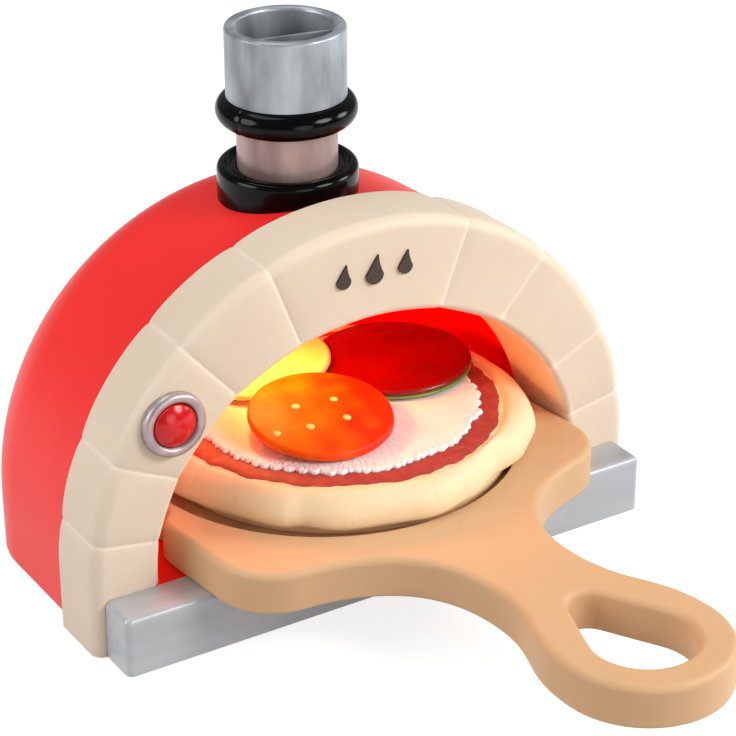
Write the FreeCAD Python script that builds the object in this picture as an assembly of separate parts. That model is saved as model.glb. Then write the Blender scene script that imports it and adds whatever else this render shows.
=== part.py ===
import FreeCAD, Part
import math
import os

V = FreeCAD.Vector

# Toy pizza oven. Millimetres, +Z up, the mouth looks along -Y. The origin is on the table,
# midway between the front of the stone arch and the back of the shell, under the chimney.

# Clearances shared by all pieces
slack = 0.3
rest_gap = 0.1
fit_gap = 0.15
screw_slack = 0.05
overrun = 3.0
touch = 0.001

# Battery box on the base plate, reached from the back
base_thick = 4.0
cell_radius = 7.25
cell_long = 50.5
cell_count = 3
cell_gap = 0.6
contact_thick = 0.5
contact_half = 5.0
box_wall = 1.5
cell_pitch = 2 * cell_radius + cell_gap
box_inner_half = cell_pitch * cell_count / 2
box_outer_half = box_inner_half + box_wall
box_inner_high = 2 * cell_radius + cell_gap
box_top = base_thick + 2 * box_wall + box_inner_high
cell_z = base_thick + box_wall + box_inner_high / 2

# Oven body: the floor clears the battery box, and the arches spring just above the floor
oven_depth = 139.0
box_headroom = 2.2
floor_thick = 2.5
spring_rise = 2.4
floor_under = box_top + box_headroom
floor_z = floor_under + floor_thick
spring_z = floor_z + spring_rise
front_y = -oven_depth / 2
rear_y = oven_depth / 2

# Stone arch at the front
arch_radius = 135.5
arch_thick = 31.4
arch_edge_round = 8.0
jamb_wide = 28.9
keystone_high = 41.2
lip_long = 9.5
lip_wall = 2.2
mouth_edge_round = 6.0
joint_width = 1.6
joint_depth = 1.1
joint_angles = (9.6, 25.0, 48.6, 68.7)
mouth_half = arch_radius - jamb_wide
mouth_rise = arch_radius - keystone_high
arch_back_y = front_y + arch_thick

# Flames on the keystone
flame_half = 4.2
flame_height = 13.0
flame_proud = 0.9
flame_pitch = 15.0
flame_z = spring_z + (mouth_rise + arch_radius) / 2
flame_size_shares = (0.82, 1.0, 0.82)
flame_tip_shares = (0.42, 0.62)

# Red shell, set in from the arch, with a crown that falls towards the back
shell_setin = 5.5
shell_wall = 3.0
shell_round = 50.0
shell_fall_share = 0.05
shell_radius = arch_radius - shell_setin
shell_inner = shell_radius - shell_wall
shell_back_y = rear_y - shell_wall
crown_z = spring_z + shell_radius

# Hearth bar, a hollow silver moulding as high as the floor
bar_setin = 5.5
bar_deep = 18.7
bar_round = 3.0
bar_wall = 2.5
bar_half = arch_radius - bar_setin
bar_height = floor_z

# Posts under the floor, for the screws through the base plate
post_radius = 5.0
post_inset = 15.0
post_near_half = 50.0
post_near_setback = 25.0
post_front_setback = 10.1
post_back_setback = 44.5
post_wide_half = shell_inner - post_inset
post_near_y = front_y + post_near_setback
post_front_y = arch_back_y + post_front_setback
post_back_y = rear_y - post_back_setback

# Self-tapping screws
screw_radius = 1.5
screw_length = 14.0
screw_head_radius = 3.2
screw_head_high = 2.0
screw_pocket = 2.2

# Inner vault and the flange that holds it behind the arch
vault_gap = 2.5
vault_wall = 2.5
vault_round = 30.0
vault_half = mouth_half + vault_gap
vault_rise = mouth_rise + vault_gap
vault_back_y = shell_back_y - slack
flange_thick = 2.5
flange_radius = shell_inner - fit_gap - flange_thick * shell_fall_share
flange_screw_angles = (28.0, 75.0, 105.0, 152.0)
flange_screw_radius = (vault_half + vault_wall + flange_radius) / 2
flange_screw_length = 12.0

# Push button on the left of the arch
button_angle = 143.7
button_inset = 16.8
button_travel = 2.5
button_radius = 9.4
button_dome = 3.6
button_edge = 2.2
bezel_radius = 14.2
bezel_proud = 3.6
bezel_round = 1.7
bezel_sleeve_wall = 1.4
bezel_sleeve = 14.0
button_flange = 2.0
stem_radius = 3.0
board_thick = 1.6
keypad_radius = 6.0
keypad_high = 4.0
button_x = (arch_radius - button_inset) * math.cos(math.radians(button_angle))
button_z = spring_z + (arch_radius - button_inset) * math.sin(math.radians(button_angle))
bezel_bore = button_radius + slack
sleeve_radius = bezel_bore + bezel_sleeve_wall
button_hole = sleeve_radius + screw_slack
keypad_y = arch_back_y - board_thick - keypad_high

# Chimney, counted up from the shell's crown
pipe_radius = 21.7
pipe_wall = 2.2
pipe_web = 2.0
neck_shown = 30.3
cap_radius = 25.9
cap_bore = 21.2
cap_high = 30.7
cap_floor = 2.5
cap_rim_round = 1.6
vane_thick = 1.8
vane_drop = 5.5
vane_angle = -10.0
ring_tube = 6.2
ring_radius = 24.3
collar_radius = 30.6
collar_rise = 9.8
collar_round = 3.5
collar_dish = 1.2
chimney_setback = 38.1
chimney_travel = 17.0
guide_wall = 2.0
guide_floor = 2.0
chimney_y = arch_back_y + chimney_setback
collar_top = crown_z + collar_rise
cap_bottom = collar_top + neck_shown
cap_top = cap_bottom + cap_high
ring_z = cap_bottom - ring_tube
guide_bore = pipe_radius + slack
guide_radius = guide_bore + guide_wall
guide_top = collar_top - collar_dish - collar_round
guide_bottom = spring_z + vault_rise + vault_wall + slack
pipe_bottom = guide_bottom + guide_floor + chimney_travel + slack
spring_coil_radius = 14.0
spring_wire = 0.8
spring_turns = 8
spring_bottom = guide_bottom + guide_floor
spring_top = cap_bottom - pipe_web

# Light in the left wall of the vault
light_angle = 145.0
light_setback = 26.0
light_y = arch_back_y + light_setback
lens_radius = 5.0
lens_dome = 3.0
lens_flange_radius = 7.5
lens_flange = 1.5
led_radius = 2.5
led_long = 3.0
light_board_half = 7.0

# Battery door, its hinge and its latch
door_thick = 2.5
door_lip = 1.2
latch_land = 9.0
latch_head_radius = 3.0
latch_radius = 1.2
latch_pocket = 1.2
latch_slot = 0.8
knuckle_radius = 2.2
hinge_pin_radius = 0.9
hinge_running = 0.06
door_left = -box_outer_half - door_lip
door_right = box_outer_half + latch_land
door_inside_y = rear_y - door_thick
cell_back_y = door_inside_y - contact_thick - slack
box_front_y = cell_back_y - cell_long - contact_thick - box_wall
latch_x = (box_outer_half + door_right) / 2

# Power switch beside the battery door
switch_run = 26.65
switch_travel = 4.0
nub_long = 5.4
nub_high = 4.0
nub_proud = 1.6
nub_tail = 2.0
switch_wall = 2.0
switch_deep = 6.0
switch_x = door_left - switch_run
switch_slot_half = (nub_long + switch_travel) / 2 + slack

# Speaker and main board on the base plate, each side of the battery box
speaker_radius = 18.0
speaker_setin = 39.0
speaker_lead = 14.0
speaker_rim = 2.0
speaker_cone_radius = 14.5
speaker_cone = 4.0
speaker_magnet_radius = 9.0
speaker_magnet = 4.0
grille_hole = 1.6
grille_pitch = 6.0
grille_ring = 6
board_setin = 27.0
board_lead = 3.7
board_run = 15.85
main_board_half_y = 17.0
standoff_radius = 2.5
standoff_high = 3.0
standoff_inset = 4.0
chip_half = 7.0
chip_high = 2.0
lead_radius = 0.9
lead_bend = 6.0
battery_lead_in = 6.3
main_board_left = box_outer_half + board_run
main_board_right = shell_inner - board_setin
main_board_half_x = (main_board_right - main_board_left) / 2
main_board_x = (main_board_left + main_board_right) / 2
main_board_y = box_front_y - board_lead
speaker_x = speaker_radius + speaker_setin - shell_inner
speaker_y = main_board_y - speaker_lead

# Peel: a board with a dished blade, a waist and a looped handle. u runs along the handle.
peel_yaw = 6.0
peel_x = 0.5
peel_thick = 18.6
peel_top_round = 3.2
peel_bottom_round = 1.4
peel_side_gap = 9.3
peel_back_gap = 1.2
dish_rim = 11.6
dish_back_rim = 3.6
dish_depth = 5.5
ear_run = 24.0
ear_steep_share = 0.75
blade_side_long = 34.0
blade_corner = 27.0
blade_corner_turn = 80.0
neck_run = 82.0
neck_half = 22.3
handle_run = 63.0
handle_half = 37.0
shoulder_shares = (0.57, 0.63)
waist_share = 0.5
loop_big_radius = 21.6
loop_shift = 0.4
loop_small_radius = 9.5
loop_long = 29.4
blade_half = mouth_half - peel_side_gap
dish_radius = blade_half - dish_rim
blade_back_half = dish_radius + dish_back_rim
blade_side_end_u = ear_run + blade_side_long
neck_u = blade_side_end_u + neck_run
handle_u = neck_u + handle_run
handle_end_u = handle_u + handle_half
loop_big_u = handle_u + loop_shift
loop_small_u = loop_big_u - loop_long
peel_y = vault_back_y - vault_wall - peel_back_gap - blade_back_half
peel_z = floor_z + rest_gap
peel_top = peel_z + peel_thick

# Pizza, built up in layers on the dish
pizza_shift_x = 5.5
pizza_shift_y = 0.8
crust_side_gap = 7.2
crust_belly = 8.5
crust_shoulder = 0.5
crust_rim = 2.2
crust_high = 21.8
crust_belly_share = 0.48
sauce_margin = 9.8
sauce_thick = 1.4
cheese_thick = 1.6
pizza_x = peel_x + pizza_shift_x
pizza_y = peel_y + pizza_shift_y
crust_base_radius = dish_radius - crust_side_gap
crust_radius = crust_base_radius + crust_belly
crust_rim_radius = crust_base_radius - crust_shoulder
sauce_radius = crust_rim_radius - crust_rim
cheese_radius = sauce_radius - sauce_margin
crust_z = peel_top - dish_depth + rest_gap
crust_top = crust_z + crust_high
cheese_top = crust_top + cheese_thick
topping_z = cheese_top + rest_gap

# Toppings, domed slices whose places and radii are shares of the cheese's radius. The tomato lies
# flat, the pepper leans on its edge, and the pepperoni leans on the pepper.
lean_step = 0.25
pepperoni_place_shares = (-0.291, -0.314)
pepperoni_radius_share = 0.4788
pepperoni_edge = 4.0
pepperoni_dome = 4.6
pepperoni_spot_radius = 1.9
pepperoni_spot_proud = 0.5
pepperoni_spot_shares = ((-0.33, 0.12), (0.21, 0.02), (0.16, -0.40), (-0.38, -0.35), (-0.81, -0.21))
pepperoni_x = pizza_x + cheese_radius * pepperoni_place_shares[0]
pepperoni_y = pizza_y + cheese_radius * pepperoni_place_shares[1]
pepperoni_radius = cheese_radius * pepperoni_radius_share
tomato_place_shares = (0.6076, 0.2288)
tomato_radius_share = 0.5455
tomato_edge = 4.2
tomato_dome = 2.6
rind_thick = 1.5
tomato_x = pizza_x + cheese_radius * tomato_place_shares[0]
tomato_y = pizza_y + cheese_radius * tomato_place_shares[1]
tomato_radius = cheese_radius * tomato_radius_share
pepper_place_shares = (-0.2273, 0.606)
pepper_radius_share = 0.5
pepper_edge = 3.4
pepper_dome = 2.2
pepper_x = pizza_x + cheese_radius * pepper_place_shares[0]
pepper_y = pizza_y + cheese_radius * pepper_place_shares[1]
pepper_radius = cheese_radius * pepper_radius_share


def save(name, shape):
    shape.exportStep("parts/" + name + ".step")


def box(low_x, high_x, low_y, high_y, low_z, high_z):
    return Part.makeBox(high_x - low_x, high_y - low_y, high_z - low_z, V(low_x, low_y, low_z))


def upright(radius, x, y, low_z, high_z):
    return Part.makeCylinder(radius, high_z - low_z, V(x, y, low_z))


def along_y(radius, x, z, low_y, high_y):
    return Part.makeCylinder(radius, high_y - low_y, V(x, low_y, z), V(0, 1, 0))


def turned(points, x, y):
    """Solid of revolution about an upright axis, from a closed outline of (radius, height) points."""
    face = Part.Face(Part.makePolygon([V(x + radius, y, height) for radius, height in points + points[:1]]))
    return face.revolve(V(x, y, 0), V(0, 0, 1))


def level_edges(shape, z):
    return [edge for edge in shape.Edges if all(abs(corner.Z - z) < touch for corner in edge.Vertexes)]


# Stone arch and shell

def half_ellipse(half_width, rise, y):
    """Crown of an arch, from its right spring point over to its left one."""
    centre = V(0, y, spring_z)
    right = V(half_width, y, spring_z)
    left = V(-half_width, y, spring_z)
    crown = V(0, y, spring_z + rise)
    if abs(half_width - rise) < touch:
        return Part.Arc(right, crown, left).toShape()
    if half_width > rise:
        return Part.ArcOfEllipse(Part.Ellipse(right, crown, centre), 0, math.pi).toShape()
    return Part.ArcOfEllipse(Part.Ellipse(crown, left, centre), -math.pi / 2, math.pi / 2).toShape()


def arch_block(half_width, rise, base_z, low_y, high_y, fall=0):
    """Solid arch: two jambs that stand on the base, under half an ellipse that may fall towards the back."""
    right_foot = V(half_width, low_y, base_z)
    left_foot = V(-half_width, low_y, base_z)
    outline = [
        half_ellipse(half_width, rise, low_y),
        Part.makeLine(V(-half_width, low_y, spring_z), left_foot),
        Part.makeLine(left_foot, right_foot),
        Part.makeLine(right_foot, V(half_width, low_y, spring_z)),
    ]
    return Part.Face(Part.Wire(outline)).extrude(V(0, high_y - low_y, -fall))


def rim_edges(shape, y, half_width):
    """Edges of an arch in the plane at y that lie within a half width, without the foot."""
    base_z = shape.BoundBox.ZMin
    return [
        edge for edge in shape.Edges
        if all(abs(corner.Y - y) < touch and abs(corner.X) < half_width + touch for corner in edge.Vertexes)
        and max(corner.Z for corner in edge.Vertexes) > base_z + touch
    ]


def rounded_arch(half_width, rise, base_z, low_y, high_y, rounding, round_y):
    block = arch_block(half_width, rise, base_z, low_y, high_y)
    return block.makeFillet(rounding, rim_edges(block, round_y, half_width))


def fallen_arch(radius, base_z, low_y, high_y, rounding):
    """Form of the shell, level with the arch in front, lower at the back and rounded there."""
    block = arch_block(radius, radius, base_z - overrun, low_y, high_y, shell_fall_share * (high_y - low_y))
    block.translate(V(0, 0, shell_fall_share * (arch_back_y - low_y)))
    reach = radius + overrun
    block = block.common(box(-reach, reach, low_y - overrun, high_y + overrun, base_z, spring_z + reach))
    return block.makeFillet(rounding, rim_edges(block, high_y, radius))


def joint_grooves():
    """Shallow grooves between the stones, over the face and round the outer edge."""
    inner_radius = arch_radius - joint_depth
    core = rounded_arch(inner_radius, inner_radius, -overrun, front_y + joint_depth, arch_back_y + overrun,
                        arch_edge_round - joint_depth, front_y + joint_depth)
    grooves = []
    for angle in joint_angles:
        for turn in (angle, 180 - angle):
            slab = box(0, arch_radius + overrun, front_y - overrun, arch_back_y + overrun,
                       spring_z - joint_width / 2, spring_z + joint_width / 2)
            slab.rotate(V(0, 0, spring_z), V(0, 1, 0), -turn)
            grooves.append(slab.cut(core))
    return grooves


def on_arch(radius, angle):
    """X and Z of a point at a radius and angle about the arch's centre."""
    turn = math.radians(angle)
    return radius * math.cos(turn), spring_z + radius * math.sin(turn)


def front_arch():
    """Cream arch with grooves between its stones, and a lip that reaches into the vault."""
    lip_y = arch_back_y + lip_long
    arch = rounded_arch(arch_radius, arch_radius, 0, front_y, arch_back_y, arch_edge_round, front_y)
    lip = arch_block(mouth_half + lip_wall, mouth_rise + lip_wall, floor_z + slack, arch_back_y, lip_y)
    mouth = arch_block(mouth_half, mouth_rise, -overrun, front_y - overrun, lip_y + overrun)
    arch = arch.fuse(lip).cut(mouth)
    arch = arch.makeFillet(mouth_edge_round, rim_edges(arch, front_y, mouth_half))
    cuts = joint_grooves()
    cuts.append(along_y(button_hole, button_x, button_z, front_y - overrun, arch_back_y + overrun))
    pilot_y = arch_back_y + flange_thick - flange_screw_length - slack
    for angle in flange_screw_angles:
        x, z = on_arch(flange_screw_radius, angle)
        cuts.append(along_y(screw_radius + screw_slack, x, z, pilot_y, arch_back_y + overrun))
    return arch.cut(cuts)


def keystone_flames():
    """Three plain flame shapes that stand proud of the keystone."""
    flames = []
    for place, share in enumerate(flame_size_shares):
        middle_x = (place - (len(flame_size_shares) - 1) / 2) * flame_pitch
        half = flame_half * share
        high = flame_height * share
        foot = flame_z - high / 2
        tip = V(middle_x + half * flame_tip_shares[0], front_y, foot + high)
        left = V(middle_x - half, front_y, foot + half)
        right = V(middle_x + half, front_y, foot + half)
        bottom = V(middle_x, front_y, foot)
        waist_z = foot + high * flame_tip_shares[1]
        flank = Part.BSplineCurve()
        flank.interpolate([tip, V(middle_x - half * flame_tip_shares[0], front_y, waist_z), left])
        back = Part.BSplineCurve()
        back.interpolate([right, V(middle_x + half * flame_tip_shares[1], front_y, waist_z), tip])
        outline = Part.Wire([flank.toShape(), Part.Arc(left, bottom, right).toShape(), back.toShape()])
        flames.append(Part.Face(outline).extrude(V(0, -flame_proud, 0)))
    return Part.makeCompound(flames)


def door_opening():
    return box(door_left - slack, door_right + slack, shell_back_y - overrun, rear_y + overrun,
               base_thick - slack, box_top + slack)


def knuckle_spans():
    """Height spans of the hinge: the shell's two knuckles and the door's one between them."""
    third = (box_top - base_thick) / 3
    low = (base_thick, base_thick + third)
    middle = (base_thick + third + slack, box_top - third - slack)
    high = (box_top - third, box_top)
    return low, middle, high


def oven_shell():
    outer = fallen_arch(shell_radius, 0, arch_back_y, rear_y, shell_round)
    inner = fallen_arch(shell_inner, -overrun, arch_back_y - overrun, shell_back_y, shell_round - shell_wall)
    shell = outer.cut(inner)
    low, middle, high = knuckle_spans()
    cuts = [
        upright(guide_radius + fit_gap, 0, chimney_y, spring_z, spring_z + shell_radius + overrun),
        door_opening(),
        box(switch_x - switch_slot_half, switch_x + switch_slot_half, shell_back_y - overrun,
            rear_y + overrun, cell_z - nub_high / 2 - slack, cell_z + nub_high / 2 + slack),
        upright(knuckle_radius + slack, door_left, rear_y, middle[0] - slack, middle[1] + slack),
    ]
    shell = shell.cut(cuts)
    hinge_bore = upright(hinge_pin_radius + hinge_running, door_left, rear_y, base_thick, box_top)
    knuckles = [upright(knuckle_radius, door_left, rear_y, span[0], span[1]) for span in (low, high)]
    return shell.fuse(knuckles).cut(hinge_bore).removeSplitter()


# Vault, floor and base

def oven_vault():
    """Inner lining of the oven, behind its flange."""
    lining_y = arch_back_y + flange_thick
    back = vault_back_y - vault_wall
    outer = rounded_arch(vault_half + vault_wall, vault_rise + vault_wall, floor_z, lining_y, vault_back_y,
                         vault_round, vault_back_y)
    inner = rounded_arch(vault_half, vault_rise, floor_z - overrun, lining_y - overrun, back,
                         vault_round - vault_wall, back)
    bore = Part.makeCylinder(lens_radius + screw_slack, 2 * overrun + vault_wall, V(0, 0, -overrun))
    return outer.cut([inner, placed_on_wall(bore)])


def vault_flange():
    """Flat flange that screws to the back of the arch and carries the lining."""
    back = arch_back_y + flange_thick
    plate = arch_block(flange_radius, flange_radius, floor_z, arch_back_y, back)
    cuts = [arch_block(vault_half, vault_rise, floor_z - overrun, arch_back_y - overrun, back + overrun)]
    for angle in flange_screw_angles:
        x, z = on_arch(flange_screw_radius, angle)
        cuts.append(along_y(screw_radius + screw_slack, x, z, arch_back_y - overrun, back + overrun))
    return plate.cut(cuts)


def plan_plate(gap, low_z, high_z):
    """Flat plate that fills the shell's plan, with a tongue that reaches between the arch's jambs."""
    half = shell_inner - gap
    back = shell_back_y - gap
    plate = box(-half, half, arch_back_y, back, low_z, high_z)
    corners = [
        edge for edge in plate.Edges
        if all(abs(corner.Y - back) < touch for corner in edge.Vertexes)
        and abs(edge.Vertexes[0].X - edge.Vertexes[1].X) < touch
    ]
    plate = plate.makeFillet(shell_round - shell_wall - gap, corners)
    tongue_half = mouth_half - gap
    return plate.fuse(box(-tongue_half, tongue_half, front_y, arch_back_y, low_z, high_z)).removeSplitter()


def post_places():
    places = []
    for side in (-1, 1):
        places.append((side * post_near_half, post_near_y))
        places.append((side * post_wide_half, post_front_y))
        places.append((side * post_wide_half, post_back_y))
    return places


def oven_floor():
    plate = plan_plate(fit_gap, floor_under, floor_z)
    posts = [upright(post_radius, x, y, base_thick, floor_under) for x, y in post_places()]
    pilot_top = screw_pocket + screw_length + slack
    pilots = [upright(screw_radius + screw_slack, x, y, base_thick, pilot_top) for x, y in post_places()]
    return plate.fuse(posts).cut(pilots).removeSplitter()


def board_corners():
    reach_x = main_board_half_x - standoff_inset
    reach_y = main_board_half_y - standoff_inset
    return [(main_board_x + a * reach_x, main_board_y + b * reach_y) for a in (-1, 1) for b in (-1, 1)]


def grille_places():
    places = [(speaker_x, speaker_y)]
    for ring in (1, 2):
        for step in range(grille_ring * ring):
            turn = 2 * math.pi * step / (grille_ring * ring)
            reach = grille_pitch * ring
            places.append((speaker_x + reach * math.cos(turn), speaker_y + reach * math.sin(turn)))
    return places


def base_plate():
    plate = plan_plate(fit_gap, 0, base_thick)
    top = base_thick + standoff_high
    standoffs = [upright(standoff_radius, x, y, base_thick, top) for x, y in board_corners()]
    cuts = [upright(grille_hole, x, y, -overrun, base_thick + overrun) for x, y in grille_places()]
    for x, y in post_places():
        cuts.append(upright(screw_head_radius + slack, x, y, -overrun, screw_pocket))
        cuts.append(upright(screw_radius + slack, x, y, -overrun, base_thick + overrun))
    return plate.fuse(standoffs).cut(cuts).removeSplitter()


def base_screws():
    """Six screws from below, through the base plate into the floor's posts."""
    screws = []
    for x, y in post_places():
        head = upright(screw_head_radius, x, y, screw_pocket - screw_head_high, screw_pocket)
        screws.append(head.fuse(upright(screw_radius, x, y, screw_pocket, screw_pocket + screw_length)))
    return Part.makeCompound(screws)


def arch_screws():
    """Four screws through the vault's flange into the back of the arch."""
    seat_y = arch_back_y + flange_thick
    screws = []
    for angle in flange_screw_angles:
        x, z = on_arch(flange_screw_radius, angle)
        head = along_y(screw_head_radius, x, z, seat_y, seat_y + screw_head_high)
        screws.append(head.fuse(along_y(screw_radius, x, z, seat_y - flange_screw_length, seat_y)))
    return Part.makeCompound(screws)


def hearth_bar():
    """Hollow bar across the foot of the arch, open below."""
    low_y = front_y - bar_deep
    bar = box(-bar_half, bar_half, low_y, front_y, 0, bar_height)
    shown = [
        edge for edge in bar.Edges
        if not all(abs(corner.Z) < touch for corner in edge.Vertexes)
        and not all(abs(corner.Y - front_y) < touch for corner in edge.Vertexes)
    ]
    bar = bar.makeFillet(bar_round, shown)
    return bar.cut(box(bar_wall - bar_half, bar_half - bar_wall, low_y + bar_wall, front_y - bar_wall,
                       -overrun, bar_height - bar_wall))


# Push button

def button_bezel():
    """Silver ring on the arch, with a sleeve that guides the button."""
    ring = along_y(bezel_radius, button_x, button_z, front_y - bezel_proud, front_y)
    ring = ring.cut(along_y(bezel_bore, button_x, button_z, front_y - bezel_proud, front_y))
    rims = [edge for edge in ring.Edges
            if all(abs(corner.Y - front_y + bezel_proud) < touch for corner in edge.Vertexes)]
    ring = ring.makeFillet(bezel_round, rims)
    sleeve = along_y(sleeve_radius, button_x, button_z, front_y, front_y + bezel_sleeve)
    sleeve = sleeve.cut(along_y(bezel_bore, button_x, button_z, front_y, front_y + bezel_sleeve))
    return ring.fuse(sleeve).removeSplitter()


def button_cap():
    """Domed cap with a retaining flange behind the sleeve and a stem towards the keypad."""
    edge_y = front_y - button_edge
    flange_y = front_y + bezel_sleeve + slack
    stem_end = keypad_y - button_travel - slack
    ball_radius = (button_radius ** 2 + button_dome ** 2) / (2 * button_dome)
    ball = Part.makeSphere(ball_radius, V(button_x, edge_y - button_dome + ball_radius, button_z))
    dome = ball.common(along_y(button_radius, button_x, button_z, edge_y - button_dome - overrun, edge_y))
    skirt = along_y(button_radius, button_x, button_z, edge_y, flange_y)
    flange = along_y(sleeve_radius - slack, button_x, button_z, flange_y, flange_y + button_flange)
    stem = along_y(stem_radius, button_x, button_z, flange_y + button_flange, stem_end)
    return dome.fuse([skirt, flange, stem]).removeSplitter()


def button_keypad():
    base = keypad_y + keypad_high
    return Part.makeCone(keypad_radius, keypad_radius - keypad_high / 2, keypad_high,
                         V(button_x, base, button_z), V(0, -1, 0))


def button_board():
    return along_y(button_hole - slack, button_x, button_z, arch_back_y - board_thick, arch_back_y)


# Chimney

def chimney_guide():
    """Cup that hangs in the shell's crown and guides the pipe."""
    cup = upright(guide_radius, 0, chimney_y, guide_bottom, guide_top)
    return cup.cut(upright(guide_bore, 0, chimney_y, guide_bottom + guide_floor, guide_top + overrun))


def chimney_collar():
    """Black collar on the crown, scribed to the shell, with a dished top."""
    foot = spring_z + shell_radius - collar_radius
    ring = upright(collar_radius, 0, chimney_y, foot, collar_top)
    ring = ring.makeFillet(collar_round, level_edges(ring, collar_top))
    dish_radius_top = collar_radius - collar_round
    cuts = [
        upright(guide_bore, 0, chimney_y, foot - overrun, collar_top + overrun),
        upright(guide_radius + fit_gap, 0, chimney_y, foot - overrun, guide_top + fit_gap),
        turned([(0, collar_top - collar_dish), (guide_bore, collar_top - collar_dish),
                (dish_radius_top, collar_top + touch), (0, collar_top + touch)], 0, chimney_y),
        fallen_arch(shell_radius, 0, arch_back_y, rear_y, shell_round),
    ]
    return ring.cut(cuts)


def chimney_pipe():
    """Sliding pipe, closed by a web that the return spring pushes on."""
    pipe = upright(pipe_radius, 0, chimney_y, pipe_bottom, cap_bottom)
    return pipe.cut(upright(pipe_radius - pipe_wall, 0, chimney_y, pipe_bottom - overrun,
                            cap_bottom - pipe_web))


def chimney_ring():
    ring = Part.makeTorus(ring_radius, ring_tube, V(0, chimney_y, ring_z))
    cuts = [
        upright(pipe_radius + fit_gap, 0, chimney_y, ring_z - ring_tube - overrun,
                ring_z + ring_tube + overrun),
        upright(cap_radius, 0, chimney_y, cap_bottom - fit_gap, ring_z + ring_tube + overrun),
    ]
    return ring.cut(cuts)


def chimney_cap():
    """Open cup on the pipe, with a rolled rim and a vane across it."""
    cup = upright(cap_radius, 0, chimney_y, cap_bottom, cap_top)
    cup = cup.cut(upright(cap_bore, 0, chimney_y, cap_bottom + cap_floor, cap_top))
    cup = cup.makeFillet(cap_rim_round, level_edges(cup, cap_top))
    reach = cap_bore + (cap_radius - cap_bore) / 2
    vane = box(-reach, reach, chimney_y - vane_thick / 2, chimney_y + vane_thick / 2,
               cap_bottom + cap_floor, cap_top - vane_drop)
    vane.rotate(V(0, chimney_y, 0), V(0, 0, 1), vane_angle)
    return cup.fuse(vane).removeSplitter()


def chimney_spring():
    """Return spring inside the pipe: an even coil of quarter-turn arcs."""
    quarters = 4 * spring_turns
    rise = (spring_top - spring_bottom - 2 * spring_wire - 2 * touch) / quarters

    def point(quarter):
        turn = math.pi * quarter / 2
        return V(spring_coil_radius * math.cos(turn), chimney_y + spring_coil_radius * math.sin(turn),
                 spring_bottom + spring_wire + touch + rise * quarter)

    arcs = [Part.Arc(point(step), point(step + 1 / 2), point(step + 1)).toShape()
            for step in range(quarters)]
    heading = arcs[0].tangentAt(arcs[0].FirstParameter)
    section = Part.Wire(Part.makeCircle(spring_wire, point(0), heading))
    return Part.Wire(arcs).makePipeShell([section], True, False)


# Light

def placed_on_wall(shape):
    """Puts a shape made along +Z onto the vault's inner wall, pointing out through the wall."""
    turn = math.radians(light_angle)
    point = V(vault_half * math.cos(turn), light_y, spring_z + vault_rise * math.sin(turn))
    normal = V(math.cos(turn) / vault_half, 0, math.sin(turn) / vault_rise)
    moved = shape.copy()
    moved.Placement = FreeCAD.Placement(point, FreeCAD.Rotation(V(0, 0, 1), normal))
    return moved


def light_lens():
    seat = vault_wall + slack
    lens = Part.makeCylinder(lens_radius, seat, V(0, 0, 0))
    dome_radius = (lens_radius ** 2 + lens_dome ** 2) / (2 * lens_dome)
    ball = Part.makeSphere(dome_radius, V(0, 0, dome_radius - lens_dome))
    dome = ball.common(Part.makeCylinder(lens_radius, lens_dome + overrun, V(0, 0, -lens_dome - overrun)))
    flange = Part.makeCylinder(lens_flange_radius, lens_flange, V(0, 0, seat))
    return placed_on_wall(lens.fuse([dome, flange]).removeSplitter())


def light_led():
    return placed_on_wall(Part.makeCylinder(led_radius, led_long, V(0, 0, vault_wall + slack + lens_flange)))


def light_board():
    foot = vault_wall + slack + lens_flange + led_long
    board = Part.makeBox(2 * light_board_half, 2 * light_board_half, board_thick,
                         V(-light_board_half, -light_board_half, foot))
    return placed_on_wall(board)


# Battery box, door and switch

def battery_box():
    """Open-backed box for the cells, with a land beside it for the door's latch screw."""
    back = shell_back_y
    body = box(-box_outer_half, box_outer_half, box_front_y, back, base_thick, box_top)
    room = box(-box_inner_half, box_inner_half, box_front_y + box_wall, back + overrun,
               base_thick + box_wall, box_top - box_wall)
    land = box(box_outer_half, door_right, back - switch_deep, back, base_thick, box_top)
    return body.cut(room).fuse(land).removeSplitter()


def cell_places():
    return [(step - (cell_count - 1) / 2) * cell_pitch for step in range(cell_count)]


def batteries():
    cells = []
    for x in cell_places():
        low_y = cell_back_y - cell_long
        body = along_y(cell_radius, x, cell_z, low_y + contact_thick, cell_back_y)
        tip = along_y(cell_radius / 3, x, cell_z, low_y, low_y + contact_thick)
        cells.append(body.fuse(tip))
    return Part.makeCompound(cells)


def contact_plates(low_y):
    return Part.makeCompound([
        box(x - contact_half, x + contact_half, low_y, low_y + contact_thick, cell_z - contact_half,
            cell_z + contact_half)
        for x in cell_places()
    ])


def battery_door():
    low, middle, high = knuckle_spans()
    plate = box(door_left, door_right, door_inside_y, rear_y, base_thick, box_top)
    cuts = [upright(knuckle_radius + slack, door_left, rear_y, span[0] - slack, span[1] + slack)
            for span in (low, high)]
    plate = plate.cut(cuts)
    plate = plate.fuse(upright(knuckle_radius, door_left, rear_y, middle[0], middle[1]))
    cuts = [
        upright(hinge_pin_radius + hinge_running, door_left, rear_y, base_thick, box_top),
        along_y(latch_head_radius + fit_gap, latch_x, cell_z, rear_y - latch_pocket, rear_y + overrun),
        along_y(latch_radius + fit_gap, latch_x, cell_z, door_inside_y - overrun, rear_y),
    ]
    return plate.cut(cuts).removeSplitter()


def door_screw():
    head = along_y(latch_head_radius, latch_x, cell_z, rear_y - latch_pocket, rear_y)
    shank = along_y(latch_radius, latch_x, cell_z, door_inside_y - rest_gap, rear_y - latch_pocket)
    slot = box(latch_x - latch_head_radius, latch_x + latch_head_radius, rear_y - latch_pocket / 2,
               rear_y + overrun, cell_z - latch_slot / 2, cell_z + latch_slot / 2)
    return head.fuse(shank).cut(slot).removeSplitter()


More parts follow.
